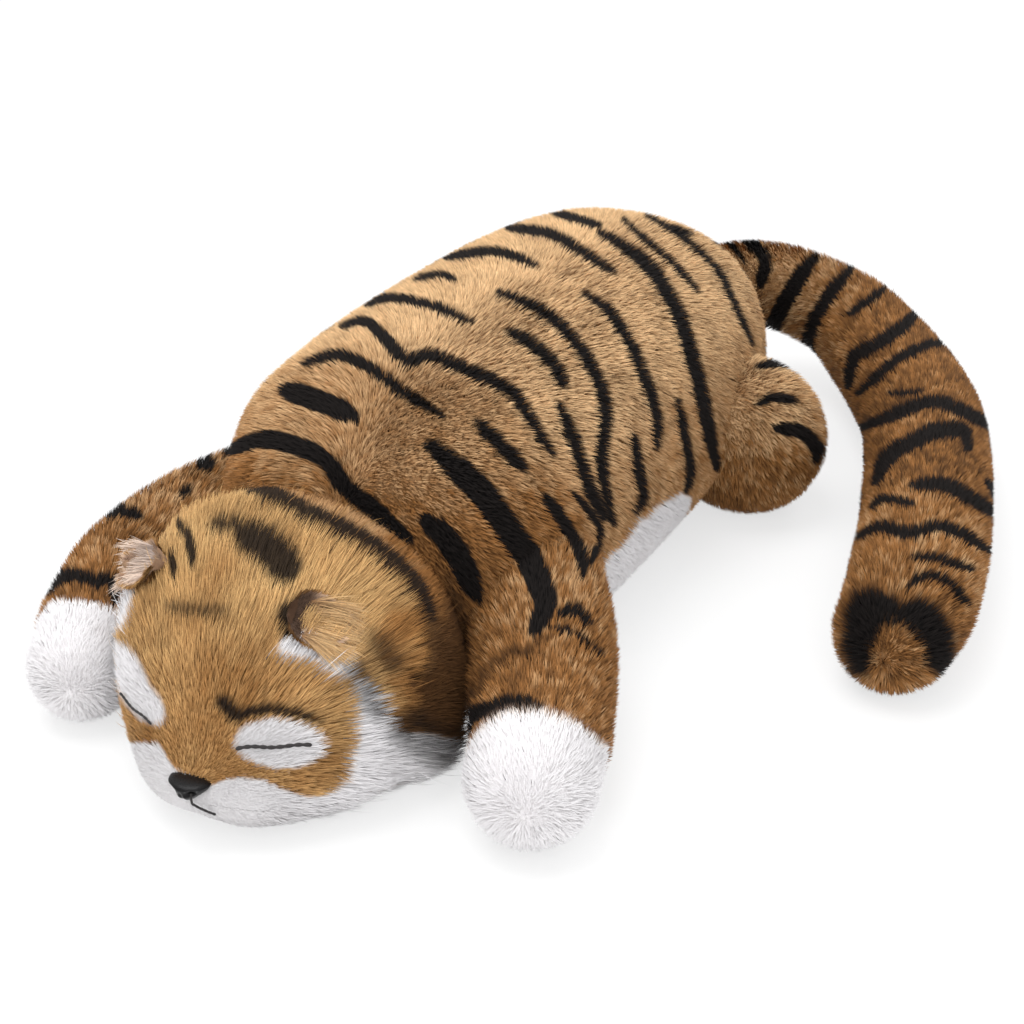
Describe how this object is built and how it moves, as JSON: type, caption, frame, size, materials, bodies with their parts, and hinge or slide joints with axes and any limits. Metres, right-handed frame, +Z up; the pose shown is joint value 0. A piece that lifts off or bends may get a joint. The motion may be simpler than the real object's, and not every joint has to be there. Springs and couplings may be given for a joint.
{
  "type": "interactive plush cat",
  "caption": "Sleeping stuffed big cat with splayed legs and a long curved tail, holding a battery-driven breathing mechanism under its plush.",
  "frame": {"origin": "on the flat belly face that the toy lies on, on its middle plane, under the ribs", "axes": "+Z up, face along -Y, the toy's left side along +X"},
  "size_m": [0.3504, 0.5374, 0.1336],
  "materials": {
    "tan_plush": "short tan pile with near-black stripes",
    "gold_plush": "long combed golden pile",
    "white_plush": "short white pile",
    "dark_plush": "short near-black pile",
    "thread": "black embroidery thread",
    "nose_plastic": "glossy black moulding",
    "white_plastic": "moulded acetal",
    "grey_plastic": "fine spark texture",
    "black_plastic": "satin",
    "steel": "zinc plated",
    "brass": "turned",
    "cell_sleeve": "printed film, plain",
    "board": "green solder mask"
  },
  "bodies": {
    "body": {"torso_cover": "tan_plush", "belly_panel": "white_plush", "lower_housing": "grey_plastic", "upper_housing": "grey_plastic", "housing_screw_1": "steel", "housing_screw_2": "steel", "housing_screw_3": "steel", "housing_screw_4": "steel", "battery_cell_1": "cell_sleeve", "battery_cell_2": "cell_sleeve", "battery_cell_3": "cell_sleeve", "contact_strip_front": "steel", "contact_strip_rear": "steel", "power_switch": "black_plastic", "pat_switch": "board", "circuit_board": "board", "control_chip": "black_plastic", "speaker_frame": "black_plastic", "speaker_magnet": "steel", "motor": "steel", "motor_screw_1": "steel", "motor_screw_2": "steel", "compound_axle": "steel", "cam_axle": "steel", "gear_plate_inner": "steel", "gear_plate_outer": "steel", "breathing_pin": "steel"},
    "head": {"head_cover": "gold_plush", "chin_panel": "white_plush", "nose": "nose_plastic", "nose_washer": "white_plastic", "ear_left": "gold_plush", "ear_right": "gold_plush", "eye_stitch_left": "thread", "eye_stitch_right": "thread", "mouth_stitch": "thread"},
    "front_left": {"front_leg_left": "tan_plush", "front_paw_left": "white_plush"},
    "front_right": {"front_leg_right": "tan_plush", "front_paw_right": "white_plush"},
    "hind_left": {"hind_leg_left": "tan_plush"},
    "hind_right": {"hind_leg_right": "tan_plush"},
    "tail": {"tail": "tan_plush", "tail_tip": "dark_plush"},
    "cam": {"cam_gear": "white_plastic"},
    "compound": {"compound_gear": "white_plastic"},
    "pinion": {"motor_pinion": "brass"},
    "breathing": {"breathing_plate": "white_plastic"},
    "pat": {"pat_button": "white_plastic"},
    "power": {"power_slider": "black_plastic"},
    "door": {"battery_door": "grey_plastic", "battery_door_screw": "steel"}
  },
  "joints": [
    {"name": "head_nod", "type": "hinge", "parent": "body", "child": "head", "pos_m": [0, -0.15, 0.08], "axis": [-1, 0, 0], "range_deg": [0, 15]},
    {"name": "front_left_swing", "type": "hinge", "parent": "body", "child": "front_left", "pos_m": [0.056, -0.101, 0.049], "axis": [0, 0, 1], "range_deg": [0, 20]},
    {"name": "front_right_swing", "type": "hinge", "parent": "body", "child": "front_right", "pos_m": [-0.062, -0.094, 0.05], "axis": [0, 0, 1], "range_deg": [-20, 0]},
    {"name": "hind_left_swing", "type": "hinge", "parent": "body", "child": "hind_left", "pos_m": [0.067, 0.07, 0.043], "axis": [0, 0, 1], "range_deg": [-8, 8]},
    {"name": "hind_right_swing", "type": "hinge", "parent": "body", "child": "hind_right", "pos_m": [-0.067, 0.07, 0.043], "axis": [0, 0, 1], "range_deg": [-8, 8]},
    {"name": "tail_swing", "type": "hinge", "parent": "body", "child": "tail", "pos_m": [0, 0.166, 0.062], "axis": [0, 0, 1], "range_deg": [-3, 20]},
    {"name": "cam_turn", "type": "hinge", "parent": "body", "child": "cam", "pos_m": [0.0192, 0.0424, 0.06], "axis": [1, 0, 0], "range_deg": [0, 180]},
    {"name": "compound_turn", "type": "hinge", "parent": "body", "child": "compound", "pos_m": [0.0146, 0.06175, 0.06], "axis": [1, 0, 0], "range_deg": [-540, 0]},
    {"name": "pinion_turn", "type": "hinge", "parent": "body", "child": "pinion", "pos_m": [0.0128, 0.0811, 0.06], "axis": [1, 0, 0], "range_deg": [0, 1620]},
    {"name": "breath", "type": "hinge", "parent": "body", "child": "breathing", "pos_m": [0, 0.09, 0.089], "axis": [1, 0, 0], "range_deg": [0, 5]},
    {"name": "pat_press", "type": "slide", "parent": "body", "child": "pat", "axis": [0, 0, -1], "range_m": [0, 0.0015], "stiffness_N_per_m": 400, "springref_m": -0.001},
    {"name": "power_slide", "type": "slide", "parent": "body", "child": "power", "axis": [1, 0, 0], "range_m": [0, 0.004]},
    {"name": "door_open", "type": "hinge", "parent": "body", "child": "door", "pos_m": [0, 0.0836, 0.0098], "axis": [1, 0, 0], "range_deg": [0, 70]}
  ],
  "couplings": [
    {"joint": "compound_turn", "follows": "cam_turn", "ratio": -3},
    {"joint": "pinion_turn", "follows": "cam_turn", "ratio": 9},
    {"joint": "breath", "follows": "cam_turn", "ratio": 0.027778}
  ]
}
